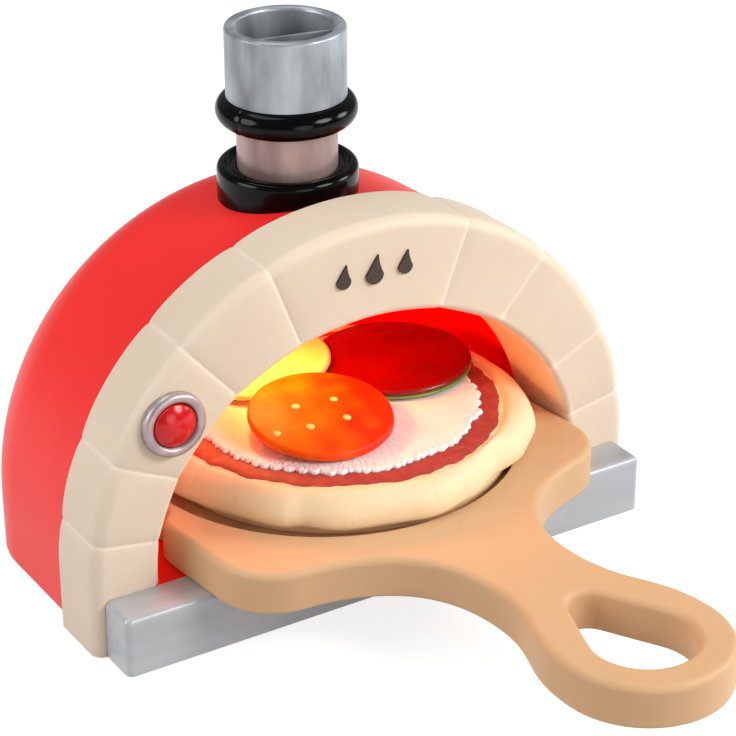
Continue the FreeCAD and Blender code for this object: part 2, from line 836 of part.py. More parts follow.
def hinge_pin():
    return upright(hinge_pin_radius, door_left, rear_y, base_thick, box_top)


def nub_start():
    return switch_x - switch_travel / 2 - nub_long / 2


def power_switch():
    """Switch body behind the back wall, with a channel for the slider's tail."""
    reach = switch_slot_half + switch_wall
    body = box(switch_x - reach, switch_x + reach, shell_back_y - switch_deep, shell_back_y,
               base_thick, cell_z + nub_high / 2 + slack + switch_wall)
    channel = box(switch_x - switch_slot_half, switch_x + switch_slot_half, shell_back_y - nub_tail - slack,
                  shell_back_y + overrun, cell_z - nub_high / 2 - slack, cell_z + nub_high / 2 + slack)
    return body.cut(channel)


def switch_slider():
    return box(nub_start(), nub_start() + nub_long, shell_back_y - nub_tail, rear_y + nub_proud,
               cell_z - nub_high / 2, cell_z + nub_high / 2)


# Sound parts

def speaker():
    rim = upright(speaker_radius, speaker_x, speaker_y, base_thick, base_thick + speaker_rim)
    cone_top = base_thick + speaker_rim + speaker_cone
    cone = Part.makeCone(speaker_cone_radius, speaker_magnet_radius, speaker_cone,
                         V(speaker_x, speaker_y, base_thick + speaker_rim))
    magnet = upright(speaker_magnet_radius, speaker_x, speaker_y, cone_top, cone_top + speaker_magnet)
    return rim.fuse([cone, magnet]).removeSplitter()


def main_board():
    foot = base_thick + standoff_high
    board = box(main_board_left, main_board_right, main_board_y - main_board_half_y,
                main_board_y + main_board_half_y, foot, foot + board_thick)
    chip = box(main_board_x - chip_half, main_board_x + chip_half, main_board_y - chip_half,
               main_board_y + chip_half, foot + board_thick, foot + board_thick + chip_high)
    return board.fuse(chip).removeSplitter()


def lead_tube(points):
    """Round wire along straight runs joined by tangent arcs."""
    edges = []
    start = points[0]
    for before, corner, after in zip(points, points[1:], points[2:]):
        inward = (before - corner).normalize()
        onward = (after - corner).normalize()
        half_turn = inward.getAngle(onward) / 2
        run = lead_bend / math.tan(half_turn)
        entry = corner + inward * run
        leave = corner + onward * run
        middle_way = (inward + onward).normalize()
        middle = corner + middle_way * (lead_bend / math.sin(half_turn) - lead_bend)
        edges.append(Part.makeLine(start, entry))
        edges.append(Part.Arc(entry, middle, leave).toShape())
        start = leave
    edges.append(Part.makeLine(start, points[-1]))
    section = Part.Wire(Part.makeCircle(lead_radius, points[0], points[1] - points[0]))
    return Part.Wire(edges).makePipeShell([section], True, False)


def wire_leads():
    """Leads under the floor: speaker to main board in front of the box, and box to main board."""
    wire_z = base_thick + standoff_high + board_thick / 2
    speaker_edge = speaker_x + speaker_radius
    bend_x = box_outer_half / 2
    sound_y = main_board_y - main_board_half_y / 2
    battery_y = box_front_y + battery_lead_in
    battery_lead = lead_tube([V(box_outer_half, battery_y, wire_z), V(main_board_left, battery_y, wire_z)])
    sound_lead = lead_tube([
        V(speaker_edge, speaker_y, base_thick + lead_radius),
        V((speaker_edge - bend_x) / 2, speaker_y, base_thick + lead_radius),
        V(-bend_x, sound_y, wire_z),
        V(main_board_left, sound_y, wire_z),
    ])
    return Part.makeCompound([battery_lead, sound_lead])


# Peel

def on_peel(along, across, z):
    """Point of the peel: along its handle and across it, about the middle of the dish."""
    yaw = math.radians(peel_yaw)
    return V(peel_x + along * math.sin(yaw) + across * math.cos(yaw),
             peel_y - along * math.cos(yaw) + across * math.sin(yaw), z)


def bent_line(points):
    curve = Part.BezierCurve()
    curve.setPoles(points)
    return curve.toShape()


def peel_flank(side, z):
    """One side of the peel: the blade's corner, the shoulder, the waist and the swell of the handle."""
    def corner_point(turn):
        return (blade_side_end_u + blade_corner * math.sin(turn),
                blade_half - blade_corner + blade_corner * math.cos(turn))

    def place(along, across):
        return on_peel(along, side * across, z)

    turn = math.radians(blade_corner_turn)
    end_u, end_half = corner_point(turn)
    dive = (end_half - neck_half) * shoulder_shares[0]
    run = (neck_u - end_u) * shoulder_shares[1]
    waist_u = neck_u + (handle_u - neck_u) * waist_share
    return [
        Part.Arc(place(*corner_point(0)), place(*corner_point(turn / 2)), place(end_u, end_half)).toShape(),
        bent_line([place(end_u, end_half),
                   place(end_u + dive * math.cos(turn), end_half - dive * math.sin(turn)),
                   place(neck_u - run, neck_half), place(neck_u, neck_half)]),
        bent_line([place(neck_u, neck_half), place(waist_u, neck_half), place(waist_u, handle_half),
                   place(handle_u, handle_half)]),
    ]


def blade_side(side, z):
    """Side of the blade: it steps out from the round back to an ear, and then runs straight."""
    steep = ear_run * ear_steep_share
    inner, outer = side * blade_back_half, side * blade_half
    return [
        bent_line([on_peel(0, inner, z), on_peel(steep, inner, z), on_peel(ear_run - steep, outer, z),
                   on_peel(ear_run, outer, z)]),
        Part.makeLine(on_peel(ear_run, outer, z), on_peel(blade_side_end_u, outer, z)),
    ]


def peel_outline(z):
    edges = [
        Part.Arc(on_peel(0, -blade_back_half, z), on_peel(-blade_back_half, 0, z),
                 on_peel(0, blade_back_half, z)).toShape(),
        Part.Arc(on_peel(handle_u, handle_half, z), on_peel(handle_end_u, 0, z),
                 on_peel(handle_u, -handle_half, z)).toShape(),
    ]
    for side in (-1, 1):
        edges += blade_side(side, z) + peel_flank(side, z)
    return Part.Face(Part.Wire(Part.__sortEdges__(edges)))


def handle_loop(z):
    """Egg-shaped finger hole: two arcs joined by tangent lines."""
    lean = math.asin((loop_big_radius - loop_small_radius) / (loop_big_u - loop_small_u))

    def touch_point(middle_u, radius, side):
        return on_peel(middle_u - radius * math.sin(lean), side * radius * math.cos(lean), z)

    big = [touch_point(loop_big_u, loop_big_radius, side) for side in (1, -1)]
    small = [touch_point(loop_small_u, loop_small_radius, side) for side in (1, -1)]
    edges = [
        Part.Arc(big[0], on_peel(loop_big_u + loop_big_radius, 0, z), big[1]).toShape(),
        Part.makeLine(big[1], small[1]),
        Part.Arc(small[1], on_peel(loop_small_u - loop_small_radius, 0, z), small[0]).toShape(),
        Part.makeLine(small[0], big[0]),
    ]
    return Part.Face(Part.Wire(edges))


def peel_board():
    rise = V(0, 0, peel_thick)
    board = peel_outline(peel_z).extrude(rise)
    board = board.cut(handle_loop(peel_z).extrude(rise))
    board = board.makeFillet(peel_top_round, level_edges(board, peel_top))
    board = board.makeFillet(peel_bottom_round, level_edges(board, peel_z))
    return board.cut(upright(dish_radius, peel_x, peel_y, peel_top - dish_depth, peel_top + overrun))


# Pizza and toppings

def pizza_crust():
    """Dough disc whose belly hangs over the dish, with a shallow bed for the sauce."""
    belly_z = crust_z + crust_high * crust_belly_share
    lip_z = peel_top + rest_gap
    foot = V(pizza_x + crust_base_radius, pizza_y, crust_z)
    step = V(pizza_x + crust_base_radius, pizza_y, lip_z)
    belly = V(pizza_x + crust_radius, pizza_y, belly_z)
    top = V(pizza_x + crust_rim_radius, pizza_y, crust_top)
    low_middle = V(pizza_x + (crust_base_radius + 2 * crust_radius) / 3, pizza_y, (2 * lip_z + belly_z) / 3)
    high_middle = V(pizza_x + (crust_rim_radius + 2 * crust_radius) / 3, pizza_y,
                    (2 * crust_top + belly_z) / 3)
    centre_top = V(pizza_x, pizza_y, crust_top)
    centre_foot = V(pizza_x, pizza_y, crust_z)
    edges = [
        Part.makeLine(centre_foot, foot),
        Part.makeLine(foot, step),
        Part.Arc(step, low_middle, belly).toShape(),
        Part.Arc(belly, high_middle, top).toShape(),
        Part.makeLine(top, centre_top),
        Part.makeLine(centre_top, centre_foot),
    ]
    dough = Part.Face(Part.Wire(edges)).revolve(V(pizza_x, pizza_y, 0), V(0, 0, 1))
    return dough.cut(upright(sauce_radius, pizza_x, pizza_y, crust_top - sauce_thick, crust_top + overrun))


def pizza_sauce():
    return upright(sauce_radius - rest_gap, pizza_x, pizza_y, crust_top - sauce_thick, crust_top)


def pizza_cheese():
    return upright(cheese_radius, pizza_x, pizza_y, crust_top, cheese_top)


def domed_slice(x, y, radius, low_z, edge_z, dome):
    """Disc with an upright edge and a low domed top."""
    ball_radius = (radius ** 2 + dome ** 2) / (2 * dome)
    ball = Part.makeSphere(ball_radius, V(x, y, edge_z + dome - ball_radius))
    return upright(radius, x, y, low_z, edge_z + dome + overrun).common(ball)


def leaned(shape, x, y, radius, support_x, support_y, tilt):
    """Stands a slice on the cheese by its far edge and tilts it up towards its support."""
    run = math.dist((x, y), (support_x, support_y))
    across_x, across_y = (x - support_x) / run, (y - support_y) / run
    moved = shape.copy()
    moved.rotate(V(x + radius * across_x, y + radius * across_y, topping_z), V(-across_y, across_x, 0), tilt)
    return moved


def tomato_rind():
    return upright(tomato_radius, tomato_x, tomato_y, topping_z, topping_z + rind_thick)


def tomato_slice():
    return domed_slice(tomato_x, tomato_y, tomato_radius, topping_z + rind_thick, topping_z + tomato_edge,
                       tomato_dome)


def lean_pepper(tilt):
    flat = domed_slice(pepper_x, pepper_y, pepper_radius, topping_z, topping_z + pepper_edge, pepper_dome)
    return leaned(flat, pepper_x, pepper_y, pepper_radius, tomato_x, tomato_y, tilt)


def lean_pepperoni(shape, tilt):
    return leaned(shape, pepperoni_x, pepperoni_y, pepperoni_radius, pepper_x, pepper_y, tilt)


def flat_pepperoni():
    return domed_slice(pepperoni_x, pepperoni_y, pepperoni_radius, topping_z, topping_z + pepperoni_edge,
                       pepperoni_dome)


def flat_spots():
    """Pale pips, set in the pepperoni's domed top."""
    top = topping_z + pepperoni_edge + pepperoni_dome
    ball_radius = (pepperoni_radius ** 2 + pepperoni_dome ** 2) / (2 * pepperoni_dome)
    spots = []
    for across_share, back_share in pepperoni_spot_shares:
        x = pepperoni_radius * across_share
        y = pepperoni_radius * back_share
        z = top - ball_radius + math.sqrt(ball_radius ** 2 - x ** 2 - y ** 2)
        spots.append(upright(pepperoni_spot_radius, pepperoni_x + x, pepperoni_y + y,
                             z - pepperoni_spot_radius, z + pepperoni_spot_proud))
    return Part.makeCompound(spots)


def rest_tilt(lean, under):
    """Smallest tilt, in steps, at which a leaning slice clears the slice under it."""
    steps = 0
    while lean(steps * lean_step).distToShape(under)[0] < rest_gap:
        steps += 1
    return steps * lean_step


pepper_tilt = rest_tilt(lean_pepper, tomato_slice())
pepperoni_tilt = rest_tilt(lambda tilt: lean_pepperoni(flat_pepperoni(), tilt), lean_pepper(pepper_tilt))


def pepper_slice():
    return lean_pepper(pepper_tilt)


def pepperoni_slice():
    return lean_pepperoni(flat_pepperoni().cut(flat_spots()), pepperoni_tilt)


def pepperoni_spots():
    return lean_pepperoni(flat_spots(), pepperoni_tilt)


os.makedirs("parts", exist_ok=True)
pieces = (
    front_arch, keystone_flames, oven_shell, oven_vault, vault_flange, oven_floor, base_plate,
    base_screws, arch_screws, hearth_bar, button_bezel, button_cap, button_keypad, button_board,
    chimney_guide, chimney_collar, chimney_spring, chimney_pipe, chimney_ring, chimney_cap, light_lens,
    light_led, light_board, battery_box, batteries, battery_door, door_screw, hinge_pin, power_switch,
    switch_slider, speaker, main_board, wire_leads, peel_board, pizza_crust, pizza_sauce, pizza_cheese,
    pepperoni_slice, pepperoni_spots, tomato_slice, tomato_rind, pepper_slice,
)
for piece in pieces:
    save(piece.__name__, piece())
save("cell_contacts", contact_plates(cell_back_y - cell_long - contact_thick))
save("door_contacts", contact_plates(door_inside_y - contact_thick))
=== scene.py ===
import math
import random
import bpy
import bmesh
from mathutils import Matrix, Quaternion, Vector, noise


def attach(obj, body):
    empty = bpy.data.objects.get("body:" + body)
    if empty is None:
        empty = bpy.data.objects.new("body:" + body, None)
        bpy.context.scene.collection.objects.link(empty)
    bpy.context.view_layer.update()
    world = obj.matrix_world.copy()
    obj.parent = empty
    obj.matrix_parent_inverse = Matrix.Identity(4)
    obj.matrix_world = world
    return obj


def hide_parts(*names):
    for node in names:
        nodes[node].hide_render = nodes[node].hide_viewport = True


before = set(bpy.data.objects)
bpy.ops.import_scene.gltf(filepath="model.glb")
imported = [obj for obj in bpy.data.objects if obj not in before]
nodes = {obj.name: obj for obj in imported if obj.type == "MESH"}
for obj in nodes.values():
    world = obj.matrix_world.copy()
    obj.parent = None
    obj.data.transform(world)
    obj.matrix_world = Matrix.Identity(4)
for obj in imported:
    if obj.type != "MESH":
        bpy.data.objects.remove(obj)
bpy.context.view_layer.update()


# Stone arch: one thick cream moulding, spark-textured in the tool to a fine satin. Soft grooves part it
# into nine stones, and it slips over the front of the shell, where four screws hold it from behind.
MM = 0.001
SPRING_Z = 29.2
FRONT_Y = -69.5
ARCH_R = 135.5
ARCH_BACK_Y = -38.1
BACK_STEP = 8
MOUTH_HALF = 103.9
MOUTH_RISE = 91.9
MOUTH_ROUND = 4.0
EDGE_ROUND = 6.0
LIP_Y = -28.6
LIP_WALL = 4.5
LIP_STUB = 0.3
FLOOR_Z = 26.8
FLOOR_GAP = 0.25
JOINTS = [math.radians(a) for a in (9.6, 25.0, 48.6, 68.7, 111.3, 131.4, 155.0, 170.4)]
JOINT_DIPS = ((0.32, 0.8), (0.4, 2.8), (0.5, 9.0))
MIDDLE_R = 121
STONE_DRIFT = 0.25
STONE_DRIFT_LENGTH = 30
BUTTON_INSET = 16.8
BUTTON_BEARING = math.radians(143.7)
BUTTON_X = (ARCH_R - BUTTON_INSET) * math.cos(BUTTON_BEARING)
BUTTON_Z = SPRING_Z + (ARCH_R - BUTTON_INSET) * math.sin(BUTTON_BEARING)
BUTTON_BORE = 11.15
BORE_PAST = 4


def colour(red, green, blue):
    """A linear colour from the 0 to 255 values of a colour picker."""
    parts = []
    for value in (red, green, blue):
        share = value / 255
        parts.append(share / 12.92 if share < 0.04045 else ((share + 0.055) / 1.055) ** 2.4)
    return (*parts, 1.0)


def new_group(name, inputs, outputs):
    """An empty shader node group; inputs are (name, kind, default) and outputs are (name, kind)."""
    group = bpy.data.node_groups.new(name, "ShaderNodeTree")
    for label, kind, default in inputs:
        socket = group.interface.new_socket(label, in_out="INPUT", socket_type=kind)
        socket.default_value = default
    for label, kind in outputs:
        group.interface.new_socket(label, in_out="OUTPUT", socket_type=kind)
    return group, group.nodes.new("NodeGroupInput"), group.nodes.new("NodeGroupOutput")


def moulded_surface():
    """Moulded plastic: two close colours in drifts, a fine spark grain, and a roughness that drifts."""
    group, given, result = new_group("moulded_surface", (
        ("Colour", "NodeSocketColor", (0.5, 0.5, 0.5, 1)),
        ("Second Colour", "NodeSocketColor", (0.4, 0.4, 0.4, 1)),
        ("Stretch", "NodeSocketVector", (1, 1, 1)),
        ("Drift Scale", "NodeSocketFloat", 30.0),
        ("Grain Scale", "NodeSocketFloat", 2500.0),
        ("Roughness", "NodeSocketFloat", 0.4),
        ("Roughness Spread", "NodeSocketFloat", 0.08),
    ), (("Colour", "NodeSocketColor"), ("Roughness", "NodeSocketFloat"), ("Height", "NodeSocketFloat")))
    make, link = group.nodes.new, group.links.new
    place = make("ShaderNodeTexCoord")
    stretch = make("ShaderNodeVectorMath")
    stretch.operation = "MULTIPLY"
    link(place.outputs["Object"], stretch.inputs[0])
    link(given.outputs["Stretch"], stretch.inputs[1])
    drift = make("ShaderNodeTexNoise")
    drift.inputs["Detail"].default_value = 4.0
    link(stretch.outputs[0], drift.inputs["Vector"])
    link(given.outputs["Drift Scale"], drift.inputs["Scale"])
    spread = make("ShaderNodeMapRange")
    spread.inputs["From Min"].default_value = 0.3
    spread.inputs["From Max"].default_value = 0.7
    link(drift.outputs["Fac"], spread.inputs["Value"])
    mix = make("ShaderNodeMix")
    mix.data_type = "RGBA"
    link(spread.outputs["Result"], mix.inputs["Factor"])
    link(given.outputs["Colour"], mix.inputs["A"])
    link(given.outputs["Second Colour"], mix.inputs["B"])
    link(mix.outputs["Result"], result.inputs["Colour"])
    grain = make("ShaderNodeTexNoise")
    grain.inputs["Detail"].default_value = 2.0
    link(place.outputs["Object"], grain.inputs["Vector"])
    link(given.outputs["Grain Scale"], grain.inputs["Scale"])
    link(grain.outputs["Fac"], result.inputs["Height"])
    centre = make("ShaderNodeMath")
    centre.operation = "SUBTRACT"
    centre.inputs[1].default_value = 0.5
    link(drift.outputs["Fac"], centre.inputs[0])
    rough = make("ShaderNodeMath")
    rough.operation = "MULTIPLY_ADD"
    link(centre.outputs[0], rough.inputs[0])
    link(given.outputs["Roughness Spread"], rough.inputs[1])
    link(given.outputs["Roughness"], rough.inputs[2])
    link(rough.outputs[0], result.inputs["Roughness"])
    return group


MOULDED = moulded_surface()


def moulded(name, main, second, roughness, spread=0.1, drift=30.0, grain=2500.0, depth=0.03,
            stretch=(1, 1, 1), metallic=0.0, coat=0.0, bleed=0.0, shine=0.5):
    """A plastic material; grain depth is in millimetres, and bleed lets light soften inside pale plastic."""
    material = bpy.data.materials.new(name)
    material.use_nodes = True
    tree = material.node_tree
    shader = tree.nodes["Principled BSDF"]
    surface = tree.nodes.new("ShaderNodeGroup")
    surface.node_tree = MOULDED
    surface.inputs["Colour"].default_value = main
    surface.inputs["Second Colour"].default_value = second
    surface.inputs["Stretch"].default_value = stretch
    surface.inputs["Drift Scale"].default_value = drift
    surface.inputs["Grain Scale"].default_value = grain
    surface.inputs["Roughness"].default_value = roughness
    surface.inputs["Roughness Spread"].default_value = spread
    bump = tree.nodes.new("ShaderNodeBump")
    bump.inputs["Distance"].default_value = depth * MM
    tree.links.new(surface.outputs["Colour"], shader.inputs["Base Color"])
    tree.links.new(surface.outputs["Roughness"], shader.inputs["Roughness"])
    tree.links.new(surface.outputs["Height"], bump.inputs["Height"])
    tree.links.new(bump.outputs["Normal"], shader.inputs["Normal"])
    shader.inputs["Metallic"].default_value = metallic
    shader.inputs["Specular IOR Level"].default_value = shine
    shader.inputs["Coat Weight"].default_value = coat
    shader.inputs["Coat Roughness"].default_value = 0.06
    shader.inputs["Subsurface Weight"].default_value = bleed
    shader.inputs["Subsurface Radius"].default_value = (1.0, 0.5, 0.3)
    shader.inputs["Subsurface Scale"].default_value = 3 * MM
    return material


def closed_mesh(name, points, faces):
    """A mesh from points in millimetres, with its seams joined and its faces turned outwards."""
    mesh = bpy.data.meshes.new(name)
    mesh.from_pydata([Vector(point) * MM for point in points], [], faces)
    work = bmesh.new()
    work.from_mesh(mesh)
    bmesh.ops.remove_doubles(work, verts=work.verts, dist=0.0005 * MM)
    bmesh.ops.recalc_face_normals(work, faces=work.faces)
    work.to_mesh(mesh)
    work.free()
    return mesh


def piece(name, points, faces, material, body, slot, *stands_for):
    """A smooth piece from points in millimetres, which rides on a body and stands for CAD nodes."""
    mesh = closed_mesh(name, points, faces)
    mesh.shade_smooth()
    mesh.set_sharp_from_angle(angle=math.radians(50))
    mesh.materials.append(material)
    shape = bpy.data.objects.new(name, mesh)
    bpy.context.collection.objects.link(shape)
    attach(shape, body)
    if stands_for:
        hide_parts(*stands_for)
    return shape


def grid_faces(rows, columns, closed_rows=False, closed_columns=False):
    """Quads over points that run row by row."""
    faces = []
    for row in range(rows if closed_rows else rows - 1):
        for column in range(columns if closed_columns else columns - 1):
            after, beside = (row + 1) % rows, (column + 1) % columns
            faces.append((row * columns + column, row * columns + beside,
                          after * columns + beside, after * columns + column))
    return faces


def arc(centre_a, centre_b, radius, start, end, steps):
    """Points of a circular arc between two angles in degrees."""
    turns = [math.radians(start + (end - start) * step / steps) for step in range(steps + 1)]
    return [(centre_a + radius * math.cos(t), centre_b + radius * math.sin(t)) for t in turns]


def lathe(profile, centre, axis, steps=128):
    """Turns (radius, along) pairs about an axis; a profile that misses the axis closes on itself."""
    points = []
    for step in range(steps):
        turn = 2 * math.pi * step / steps
        for radius, along in profile:
            first, second = radius * math.cos(turn), radius * math.sin(turn)
            if axis == "z":
                points.append((centre[0] + first, centre[1] + second, along))
            else:
                points.append((centre[0] + first, along, centre[2] + second))
    return points, grid_faces(steps, len(profile), closed_rows=True, closed_columns=profile[0][0] > 0)


def mouth_radius(turn):
    return 1 / math.hypot(math.cos(turn) / MOUTH_HALF, math.sin(turn) / MOUTH_RISE)


def joint_distance(turn, radius):
    return min(radius * abs(turn - joint) for joint in JOINTS)


def joint_dip(distance):
    """How far a stone's skin drops near a joint: a narrow groove, with worn shoulders each side."""
    return sum(depth * math.exp(-(distance / width) ** 2) for depth, width in JOINT_DIPS)


def arch_section(inner, lip):
    """The arch's section as (radius, y, dip in radius, dip in y, share of the dip)."""
    out = []
    for step in range(9):
        y = lip + (FRONT_Y + MOUTH_ROUND - lip) * step / 8
        out.append((inner, y, 1, 0, 0.0 if step < 5 else (step - 4) / 6))
    for radius, y in arc(inner + MOUTH_ROUND, FRONT_Y + MOUTH_ROUND, MOUTH_ROUND, 180, 270, 10)[1:]:
        nose = (radius - inner) / MOUTH_ROUND
        out.append((radius, y, 1 - nose, nose, 0.75 + 0.25 * nose))
    face_end = ARCH_R - EDGE_ROUND
    for step in range(1, 14):
        out.append((inner + MOUTH_ROUND + (face_end - inner - MOUTH_ROUND) * step / 14, FRONT_Y, 0, 1, 1.0))
    for step in range(11):
        turn = math.radians(270 + 9 * step)
        out.append((face_end + EDGE_ROUND * math.cos(turn),
                    FRONT_Y + EDGE_ROUND + EDGE_ROUND * math.sin(turn),
                    -math.cos(turn), -math.sin(turn), 1.0))
    for step in range(1, 7):
        y = FRONT_Y + EDGE_ROUND + (ARCH_BACK_Y - FRONT_Y - EDGE_ROUND) * step / 6
        out.append((ARCH_R, y, -1, 0, 1.0))
    for radius, y in ((ARCH_R - BACK_STEP, ARCH_BACK_Y), (inner + LIP_WALL, ARCH_BACK_Y),
                      (inner + LIP_WALL, lip)):
        out.append((radius, y, 0, 0, 0.0))
    return out


def arch_stations():
    """Angles over the arch, closer together at the joints."""
    turns = {math.pi * step / 120 for step in range(121)}
    for joint in JOINTS:
        turns = {t for t in turns if abs(t - joint) * MIDDLE_R > 7.5}
        for offset in (0, 0.3, 0.6, 0.9, 1.3, 1.8, 2.5, 3.4, 4.6, 6.2):
            turns |= {joint + offset / MIDDLE_R, joint - offset / MIDDLE_R}
    return sorted(t for t in turns if -1e-9 <= t <= math.pi + 1e-9)


def arch_points():
    """The arch from its right foot over the crown to its left foot; the lip starts above the oven's floor."""
    foot_heights = (0, 3, 8, 14, 20, 25, FLOOR_Z + FLOOR_GAP)
    stations = [(1, 0, z, 0.0) for z in foot_heights]
    stations += [(math.cos(t), math.sin(t), SPRING_Z, t) for t in arch_stations()]
    stations += [(-1, 0, z, math.pi) for z in reversed(foot_heights)]
    points = []
    for across, up, foot, turn in stations:
        inner = mouth_radius(turn)
        lip = LIP_Y if foot > FLOOR_Z else ARCH_BACK_Y - LIP_STUB
        for radius, y, dip_r, dip_y, share in arch_section(inner, lip):
            gap = math.hypot(joint_distance(turn, radius), 0 if foot == SPRING_Z else SPRING_Z - foot)
            # Hand-cut stones: each skin drifts by a few tenths
            place = (across * radius, y, foot + up * radius)
            wander = 1 + noise.noise([value / STONE_DRIFT_LENGTH for value in place])
            drop = joint_dip(gap) * share + STONE_DRIFT * share * wander
            radius += dip_r * drop
            y += dip_y * drop
            points.append((across * radius, y, foot + up * radius))
    columns = len(arch_section(MIDDLE_R, LIP_Y))
    faces = grid_faces(len(stations), columns, closed_columns=True)
    faces += [tuple(range(columns)), tuple(range(len(points) - columns, len(points)))]
    return points, faces


def bored(shape, drill_points, drill_faces):
    """Cuts a drill's shape out of a piece."""
    drill = bpy.data.objects.new("drill", closed_mesh("drill", drill_points, drill_faces))
    bpy.context.collection.objects.link(drill)
    cut = shape.modifiers.new("bore", "BOOLEAN")
    cut.object = drill
    cut.solver = "EXACT"
    bpy.context.view_layer.update()
    made = bpy.data.meshes.new_from_object(shape.evaluated_get(bpy.context.evaluated_depsgraph_get()))
    shape.modifiers.clear()
    shape.data = made
    bpy.data.objects.remove(drill)


def fade(material, value, other):
    """Mixes a second colour into a material by a value from 0 to 1 that its mesh carries."""
    given = material.node_tree.nodes.new("ShaderNodeAttribute")
    given.attribute_name = value
    mix = material.node_tree.nodes.new("ShaderNodeMix")
    mix.data_type = "RGBA"
    mix.inputs["B"].default_value = other
    socket = material.node_tree.nodes["Principled BSDF"].inputs["Base Color"]
    plain = socket.links[0].from_socket
    material.node_tree.links.new(given.outputs["Fac"], mix.inputs["Factor"])
    material.node_tree.links.new(plain, mix.inputs["A"])
    material.node_tree.links.new(mix.outputs["Result"], socket)


def carry(shape, value, at):
    """Gives each point of a piece a value from its place in millimetres."""
    layer = shape.data.attributes.new(value, "FLOAT", "POINT")
    for vertex, holder in zip(shape.data.vertices, layer.data):
        holder.value = at(*(vertex.co / MM))


def painted_joint_highlight_at(x, y, z):
    """1 at the bottom of a joint between stones, and 0 away from it: where a highlight is painted into the
    joints.
    """
    if z < SPRING_Z or y > ARCH_BACK_Y:
        return 0.0
    turn, radius = math.atan2(z - SPRING_Z, x), math.hypot(x, z - SPRING_Z)
    reach = min(1, max(0, (radius - mouth_radius(turn)) / 2 + 0.3))
    return math.exp(-joint_distance(turn, radius) ** 2) * reach


# Painted highlight: the joints are painted paler than the faces, standing in for the light that the edges of
# the grooves catch
stone = moulded("stone", colour(229, 211, 190), colour(224, 205, 183), 0.45, drift=22, grain=2200, depth=0.05,
                bleed=0.08, shine=0.3)
fade(stone, "groove", colour(236, 221, 203))
arch = piece("stone_arch", *arch_points(), stone, "oven", "stone", "front_arch")
bore_start, bore_end = FRONT_Y - BORE_PAST, ARCH_BACK_Y + BORE_PAST
bored(arch, *lathe([(0, bore_start), (BUTTON_BORE, bore_start), (BUTTON_BORE, bore_end), (0, bore_end)],
                   (BUTTON_X, 0, BUTTON_Z), "y", 64))
# The mask of the painted highlight in the joints
carry(arch, "groove", painted_joint_highlight_at)


# Flames: three plain flames in relief on the keystone. They are moulded with the arch, and a pad prints
# them dark brown.
def dress(material, *names):
    """Gives CAD nodes a material."""
    for name in names:
        for holder in nodes[name].material_slots:
            holder.material = material


dress(moulded("flame_print", colour(62, 40, 30), colour(50, 32, 25), 0.5, grain=3000), "keystone_flames")


# Red shell: a barrel-backed moulding with a satin finish, closed by the base plate under it. The lining
# of the oven is a second red moulding, polished, and its floor plate carries the peel.
red = moulded("red_shell", colour(252, 48, 42), colour(247, 43, 42), 0.40, drift=12, grain=2600, depth=0.03,
              shine=0.3)
dress(red, "oven_shell", "battery_door")
lining = moulded("red_lining", colour(250, 14, 18), colour(242, 10, 16), 0.35, drift=14, grain=2600,
                 depth=0.02)
dress(lining, "oven_vault", "vault_flange", "oven_floor")


# Hearth bar: a hollow moulding, open below, that lies across the foot of the arch. It is made of silver
# plastic, whose flakes lie in faint streaks along its length.
def silver(name, main, second, stretch, drift, metallic):
    return moulded(name, main, second, 0.38, spread=0.16, drift=drift, grain=5200, depth=0.02,
                   stretch=stretch, metallic=metallic)


bar_silver = silver("silver_bar", colour(190, 192, 196), colour(172, 175, 180), (0.12, 1, 1), 90, 0.15)
dress(bar_silver, "hearth_bar")


# Push button: a polished dome of red plastic that slides in a silver ring. The ring's sleeve is pressed
# into the arch, and the dome's stem reaches back to a rubber keypad that returns it.
def button_ring():
    rim, bore, sleeve = 14.2, 9.7, 11.1
    middle, half, rise = (rim + bore) / 2, (rim - bore) / 2, 2.4
    edge, sleeve_end = FRONT_Y - 1.2, FRONT_Y + 14.0
    profile = [(bore, sleeve_end), (bore, edge)]
    profile += [(middle - half * math.cos(t), edge - rise * math.sin(t))
                for t in [math.pi * step / 18 for step in range(1, 18)]]
    profile += [(rim, edge), (rim, FRONT_Y), (sleeve, FRONT_Y), (sleeve, sleeve_end)]
    return lathe(profile, (BUTTON_X, 0, BUTTON_Z), "y")


def button_dome():
    radius, edge, dome = 9.4, FRONT_Y - 2.2, 3.6
    flange, flange_thick, stem, stem_end = 10.8, 2, 3, -46.5
    ball = (radius ** 2 + dome ** 2) / (2 * dome)
    lean = math.asin(radius / ball)
    top = [(ball * math.sin(lean * step / 20), edge - dome + ball - ball * math.cos(lean * step / 20))
           for step in range(20)]
    skirt_end = FRONT_Y + 14.3
    profile = top + [(radius - 0.1, edge - 0.25), (radius, edge + 0.4), (radius, skirt_end),
                     (flange, skirt_end), (flange, skirt_end + flange_thick),
                     (stem, skirt_end + flange_thick), (stem, stem_end), (0, stem_end)]
    return lathe(profile, (BUTTON_X, 0, BUTTON_Z), "y")


ring_silver = silver("silver_ring", colour(190, 174, 175), colour(160, 142, 143), (1, 1, 1), 160, 0.6)
piece("button_ring", *button_ring(), ring_silver, "oven", "silver", "button_bezel")
button_red = moulded("button_red", colour(222, 8, 18), colour(208, 5, 15), 0.18, spread=0.05, grain=3000,
                     depth=0.006, bleed=0.1, shine=0.4)
piece("button_dome", *button_dome(), button_red, "button", "button_red", "button_cap")


# Chimney: a black collar scribed to the shell, a silver pipe that slides in it, a black ring, and an open
# silver cup with a vane. The silver plastic shows its flow as cloudy upright streaks.
SHELL_R = 130.0
CROWN_FALL = 0.05
CROWN_ROUND = 50
CROWN_ROUND_Y = 19.5
COLLAR_SKIRT_Z = 161


